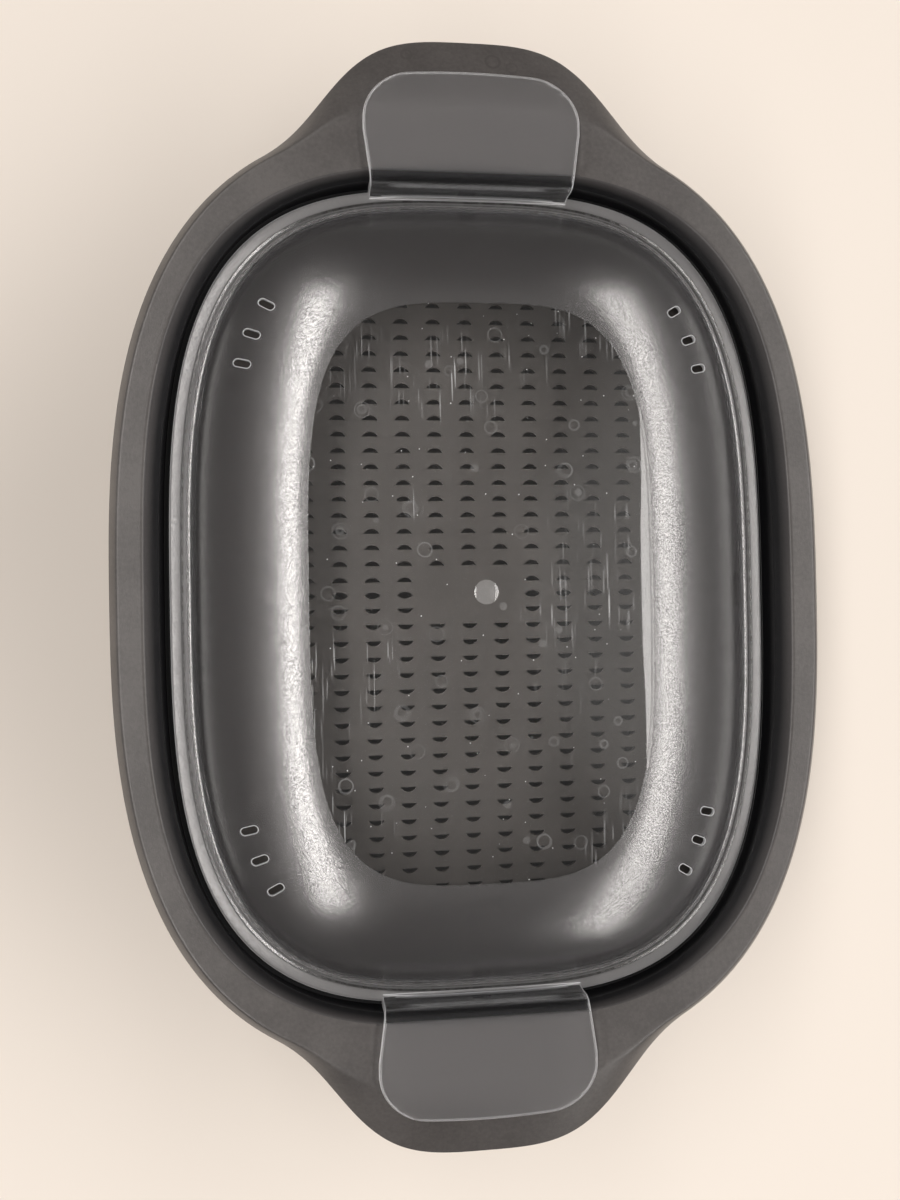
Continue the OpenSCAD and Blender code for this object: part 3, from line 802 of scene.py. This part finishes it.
def grained_plastic(name, dark, light, rough, grain, marks=(), dim=None):
    """Matt moulded plastic: a fine spark-eroded grain, cloudy tone and handling marks in the gloss.

    rough is its range of roughness, and grain the grain's size and depth in millimetres.  marks are round
    ejector marks, each as x, y, radius and strength.  dim is a pair of heights between which painted shade
    fades out: the tone is painted nearly black below the lower one, for the shade of a deep gap, and rises to
    its own by the upper one; with it the whole material's gloss is lowered too.
    """
    material, tree, shader = new_material(name)
    cloud = math_node(tree, "MULTIPLY", noise(tree, CLOUD_SCALE, 4, 0.6), 0.6)
    speck = math_node(tree, "MULTIPLY", noise(tree, 1 / (grain[0] * SPECK_SIZE * MM), 2, 0.6), 0.4)
    share = ramp(tree, math_node(tree, "ADD", cloud, speck), 0.38, 0.62, 0, 1)
    for x, y, r, strength in marks:
        mark = math_node(tree, "MULTIPLY", ring_mark(tree, x, y, r, EJECTOR_LINE), strength)
        share = math_node(tree, "SUBTRACT", share, mark)
    colour = colour_mix(tree, share, dark, light)
    # Painted shade: nearly black below the lower height, fading to the plastic's own tone by the upper one.
    if dim:
        lit = ramp(tree, height_of(tree, coordinates(tree)), dim[0] * MM, dim[1] * MM, 0, 1)
        colour = colour_mix(tree, lit, PAINTED_GAP_SHADE, colour)
        shader.inputs["Specular IOR Level"].default_value = GAP_GLOSS
    tree.links.new(colour, shader.inputs["Base Color"])
    smear = noise(tree, SMEAR_SCALE, 5, 0.62, (1, 0.45, 1))
    tree.links.new(ramp(tree, smear, 0.35, 0.68, *rough), shader.inputs["Roughness"])
    bump(tree, shader, noise(tree, 1 / (grain[0] * MM), 3, 0.55), 0.5, grain[1] * MM)
    shader.inputs["IOR"].default_value = GRAINED_IOR
    return material


def band(tree, value, centre, full, faded):
    """1 where a value lies within full of the centre, falling to 0 where it is faded away from it."""
    off = math_node(tree, "ABSOLUTE", math_node(tree, "SUBTRACT", value, centre))
    return ramp(tree, off, full, faded, 1, 0)


def ring_mark(tree, x, y, r, width):
    """1 on the line of a round ejector mark of radius r about (x, y), in millimetres, and 0 elsewhere."""
    node = add_node(tree, "ShaderNodeVectorMath", operation="DISTANCE")
    tree.links.new(coordinates(tree, (1, 1, 0)), node.inputs[0])
    node.inputs[1].default_value = (x * MM, y * MM, 0)
    return band(tree, node.outputs["Value"], r * MM, width / 2 * MM, width * MM)


def scratch_mask(tree, turn, length, spacing, amount):
    """Thin straight scratches: noise stretched along one direction and cut off near its peak."""
    place = add_node(tree, "ShaderNodeTexCoord").outputs["Object"]
    mapping = add_node(tree, "ShaderNodeMapping", Scale=(1 / (spacing * MM), 1 / (length * MM), 1))
    mapping.inputs["Rotation"].default_value = (0, 0, math.radians(turn))
    tree.links.new(place, mapping.inputs["Vector"])
    node = add_node(tree, "ShaderNodeTexNoise", Scale=1.0, Detail=1.0, Roughness=0.4)
    tree.links.new(mapping.outputs["Vector"], node.inputs["Vector"])
    patch = noise(tree, PATCH_SCALE, 2, 0.5)
    thin = ramp(tree, node.outputs["Fac"], amount, amount + 0.03, 0, 1)
    return math_node(tree, "MULTIPLY", thin, ramp(tree, patch, 0.5, 0.62, 0, 1))


def cells(tree, spacing):
    """Distance from the nearest of many scattered points, in shares of their spacing in millimetres."""
    node = add_node(tree, "ShaderNodeTexVoronoi", Scale=1 / (spacing * MM), Randomness=1.0)
    tree.links.new(coordinates(tree), node.inputs["Vector"])
    return node.outputs["Distance"]


def wear_mask(tree):
    """Dust specks, rings left by water drops and fine scratches, as a share from 0 to 1."""
    dust = ramp(tree, cells(tree, DUST_SPACING), *DUST_SIZE, 1, 0)
    drops = math_node(tree, "MULTIPLY", band(tree, cells(tree, DROP_SPACING), *DROP_RING), DROP_STRENGTH)
    total = math_node(tree, "MAXIMUM", dust, drops)
    for turn, length, spacing in SCRATCHES:
        scratch = scratch_mask(tree, turn, length, spacing, SCRATCH_LEVEL)
        total = math_node(tree, "MAXIMUM", total, math_node(tree, "MULTIPLY", scratch, SCRATCH_STRENGTH))
    return total


def clear_plastic(name, tint, rough, passes, clear=1.0, grain=None, sparkle=0.0, worn=False, ior=1.54):
    """Clear moulded plastic, polished or with a spark-eroded grain, its size and depth in millimetres.

    clear is the share of light that goes on through it and the rest is scattered at once.  Lamps reach what
    lies under it, weakened to the share passes.  sparkle is how unevenly the grain shines, from 0 to 1.
    """
    material, tree, shader = new_material(name)
    shader.inputs["Base Color"].default_value = (*tint, 1)
    shader.inputs["Transmission Weight"].default_value = clear
    shader.inputs["IOR"].default_value = ior
    shader.inputs["Specular IOR Level"].default_value = CLEAR_GLOSS
    shader.inputs["Roughness"].default_value = rough
    if grain:
        bump(tree, shader, noise(tree, 1 / (grain[0] * MM), 2, 0.6), 1.0, grain[1] * MM)
    if sparkle:
        glint = ramp(tree, noise(tree, GLINT / (grain[0] * MM), 1, 0.5), 0.3, 0.7, 1 - sparkle, 1 + sparkle)
        tree.links.new(glint, shader.inputs["Specular Tint"])
    if worn:
        mask = wear_mask(tree)
        clouded = ramp(tree, mask, 0, 1, clear, clear - WORN_CLOUD)
        tree.links.new(clouded, shader.inputs["Transmission Weight"])
        tree.links.new(ramp(tree, mask, 0, 1, rough, WORN_ROUGH), shader.inputs["Roughness"])
    lamp_side = add_node(tree, "ShaderNodeBsdfTransparent", Color=(passes, passes, passes, 1))
    choice = add_node(tree, "ShaderNodeMixShader")
    tree.links.new(add_node(tree, "ShaderNodeLightPath").outputs["Is Shadow Ray"], choice.inputs[0])
    tree.links.new(shader.outputs["BSDF"], choice.inputs[1])
    tree.links.new(lamp_side.outputs["BSDF"], choice.inputs[2])
    tree.links.new(choice.outputs["Shader"], tree.nodes["Material Output"].inputs["Surface"])
    return material


def floor_material():
    material, _, shader = new_material("pale_floor")
    shader.inputs["Base Color"].default_value = (*FLOOR_TONE, 1)
    shader.inputs["Roughness"].default_value = 0.85
    shader.inputs["Specular IOR Level"].default_value = 0.1
    return material


# ======== Stage, light and camera ========

def make_floor():
    corners = [(-1, -1, 0), (1, -1, 0), (1, 1, 0), (-1, 1, 0)]
    floor = mesh_object("floor", np.array(corners) * FLOOR_HALF, [(0, 1, 2, 3)])
    floor.data.materials.append(floor_material())


def pointing(lean, bearing):
    """Direction that leans from the vertical towards a bearing, both in degrees, 0 being +X and 90 +Y."""
    a, b = math.radians(lean), math.radians(bearing)
    return Vector((math.sin(a) * math.cos(b), math.sin(a) * math.sin(b), math.cos(a)))


def make_room():
    """Dim even light from all round, paler low down, overhead and about the right window."""
    world = bpy.data.worlds.new("room")
    bpy.context.scene.world = world
    world.use_nodes = True
    tree = world.node_tree
    sky = tree.nodes["Background"]
    sky.inputs["Color"].default_value = (*ROOM_TONE, 1)
    place = add_node(tree, "ShaderNodeTexCoord").outputs["Generated"]
    toward = add_node(tree, "ShaderNodeVectorMath", operation="DOT_PRODUCT")
    toward.inputs[1].default_value = pointing(HALO_LEAN, 0)
    tree.links.new(place, toward.inputs[0])
    height, nearness = height_of(tree, place), toward.outputs["Value"]
    level = ROOM_LEVEL
    for part in (ramp(tree, height, 0.0, HORIZON_TOP, HORIZON_LEVEL - ROOM_LEVEL, 0),
                 ramp(tree, height, *ZENITH_FROM, 0, ZENITH_LEVEL - ROOM_LEVEL),
                 ramp(tree, nearness, math.cos(math.radians(HALO_REACH)), 1, 0, HALO_LEVEL)):
        level = math_node(tree, "ADD", part, level)
    tree.links.new(level, sky.inputs["Strength"])


def soft_box(name, lean, bearing, distance, width, length, power, slide=0.0):
    """Soft light that leans from the vertical towards a bearing; distances are in metres and power in watts.

    Its width runs along the lean, and slide moves it along its length.
    """
    light = bpy.data.lights.new(name, "AREA")
    light.shape = "RECTANGLE"
    light.size = width
    light.size_y = length
    light.energy = power
    light.color = LIGHT_TONE
    obj = bpy.data.objects.new(name, light)
    lengthwise = pointing(90, bearing + 90)
    obj.location = Vector(LIGHT_TARGET) + pointing(lean, bearing) * distance + lengthwise * slide
    obj.rotation_euler = Euler((0, math.radians(lean), math.radians(bearing)))
    obj.visible_camera = False
    bpy.context.scene.collection.objects.link(obj)


def make_camera():
    camera = bpy.data.cameras.new("camera")
    camera.lens = CAMERA_LENS
    camera.sensor_width = CAMERA_LENS
    camera.clip_start = 0.01
    obj = bpy.data.objects.new("camera", camera)
    obj.location = Vector(CAMERA_PLACE) * MM
    obj.rotation_euler = Euler([math.radians(a) for a in CAMERA_TURN])
    bpy.context.scene.collection.objects.link(obj)
    bpy.context.scene.camera = obj


FLOOR_TONE = (0.81, 0.745, 0.675)
FLOOR_HALF = 6.0        # metres
ROOM_TONE = (1.0, 0.97, 0.94)
ROOM_LEVEL = 0.06
HORIZON_LEVEL = 0.45    # paler low down, where a room's walls and tables are seen
HORIZON_TOP = 0.3       # sine of the height where that ends
ZENITH_LEVEL = 0.2      # paler overhead, where its ceiling is
ZENITH_FROM = (0.7, 0.9)            # sines of the heights between which that begins
HALO_LEAN, HALO_REACH = 38, 24      # degrees: soft glow round the right window
HALO_LEVEL = 0.6
LIGHT_TONE = (1.0, 0.96, 0.93)
LIGHT_TARGET = (0, 0, 0.1)          # metres
CAMERA_LENS = 36        # mm, and the sensor's long side too
CAMERA_PLACE = (-68.54, -7.5, 510.74)
CAMERA_TURN = (0.878, -8.111, -1.050)
DISH_MARKS = ((8.8, 186.4, 2.5, 1.2), (-21.5, 188.0, 1.8, 0.5), (15.5, 184.0, 2.0, 0.4), (96, 40, 2.2, 0.5))
FROST, FINE_FROST = (0.8, 0.025), (0.5, 0.02)       # grains of the lid, size and depth, mm

make_camera()
make_floor()
make_room()
soft_box("left_window", 23.5, 180, distance=1.6, width=0.30, length=3.0, power=24.5)
soft_box("right_window", 41, 0, distance=1.6, width=0.45, length=3.8, power=27, slide=-0.5)
soft_box("right_low", 82, 0, distance=1.8, width=0.5, length=2.4, power=3)
soft_box("left_low", 80, 180, distance=1.8, width=0.5, length=2.4, power=5)

dish_plastic = grained_plastic("dish_plastic", (0.052, 0.047, 0.045), (0.078, 0.071, 0.068),
                               rough=(0.34, 0.44), grain=(0.6, 0.08), marks=DISH_MARKS)
# Painted shade: a darker copy of the dish plastic, painted nearly black below RIM_H - 3.4 and fading out by
# RIM_H - 0.8, for the shade deep in the gap.
painted_shade_plastic = grained_plastic("dish_painted_shade", (0.048, 0.045, 0.045), (0.060, 0.056, 0.056),
                                 rough=(0.32, 0.4), grain=(0.5, 0.03), dim=(RIM_H - 3.4, RIM_H - 0.8))
tray_plastic = grained_plastic("tray_plastic", (0.041, 0.035, 0.030), (0.052, 0.044, 0.038),
                               rough=(0.40, 0.5), grain=(0.4, 0.03))
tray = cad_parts["tray"]
tray.data.materials.clear()
tray.data.materials.append(tray_plastic)
tray_floor(tray_plastic)
make_dish(dish_plastic, painted_shade_plastic)
# In the order of the numbers from WINDOW to LINE.
make_lid([
    clear_plastic("lid_window", (0.93, 0.94, 0.95), rough=0.02, passes=0.88, worn=True),
    # Its grey tint is painted shade: it darkens what is seen through the shoulder, standing for the shade the
    # frosted shoulder casts below it.
    clear_plastic("lid_frost", (0.56, 0.55, 0.56), rough=0.215, passes=0.1, clear=0.97,
                  grain=FROST, sparkle=0.5, ior=1.95),
    clear_plastic("lid_flange", (0.75, 0.74, 0.75), rough=0.4, passes=0.3, clear=0.80,
                  grain=(0.8, 0.03), sparkle=0.5, ior=2.0),
    clear_plastic("lid_tab", (0.72, 0.71, 0.72), rough=0.3, passes=0.7, clear=0.97, grain=FINE_FROST),
    # Painted highlight: half milky white, so that edges, vent walls, burrs and beads show as bright lines.
    clear_plastic("lid_edge_highlight", (0.92, 0.93, 0.95), rough=0.3, passes=0.5, clear=0.5),
    clear_plastic("lid_fold", (0.8, 0.81, 0.83), rough=0.15, passes=0.6),
    clear_plastic("lid_mark", (0.9, 0.9, 0.9), rough=0.05, passes=0.6, clear=0.85),
    clear_plastic("lid_line", (0.55, 0.55, 0.56), rough=0.5, passes=0.6, clear=0.85, ior=1.2)])

scene = bpy.context.scene
scene.view_settings.view_transform = "Standard"
